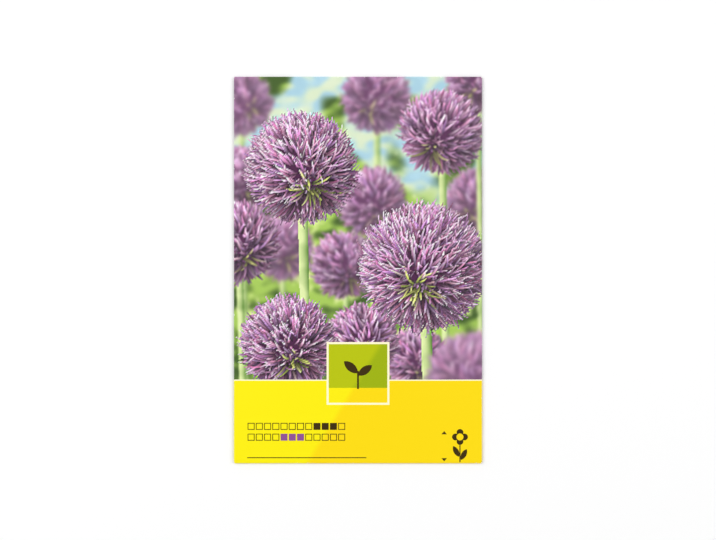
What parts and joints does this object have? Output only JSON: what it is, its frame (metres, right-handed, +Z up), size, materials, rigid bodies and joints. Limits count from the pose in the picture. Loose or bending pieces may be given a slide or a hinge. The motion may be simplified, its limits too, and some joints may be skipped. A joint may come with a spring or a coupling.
{
  "type": "printed flower packet",
  "caption": "Thin flat paper packet, folded from one printed sheet with a glued back seam and end flaps, for selling flower bulbs or seeds.",
  "frame": {"origin": "middle of the packet's footprint, on the ground under its back, as it lies face up", "axes": "+Z up, out of the printed front; +Y along the front, towards the packet's top edge; +X to the right as the front is read"},
  "size_m": [0.11, 0.1714, 0.0026],
  "materials": {
    "printed_coated_paper": "satin coated paper, printed in full colour on the outside, bare white at its cut edges"
  },
  "bodies": {
    "root": {"packet_paper": "printed_coated_paper"}
  },
  "joints": []
}
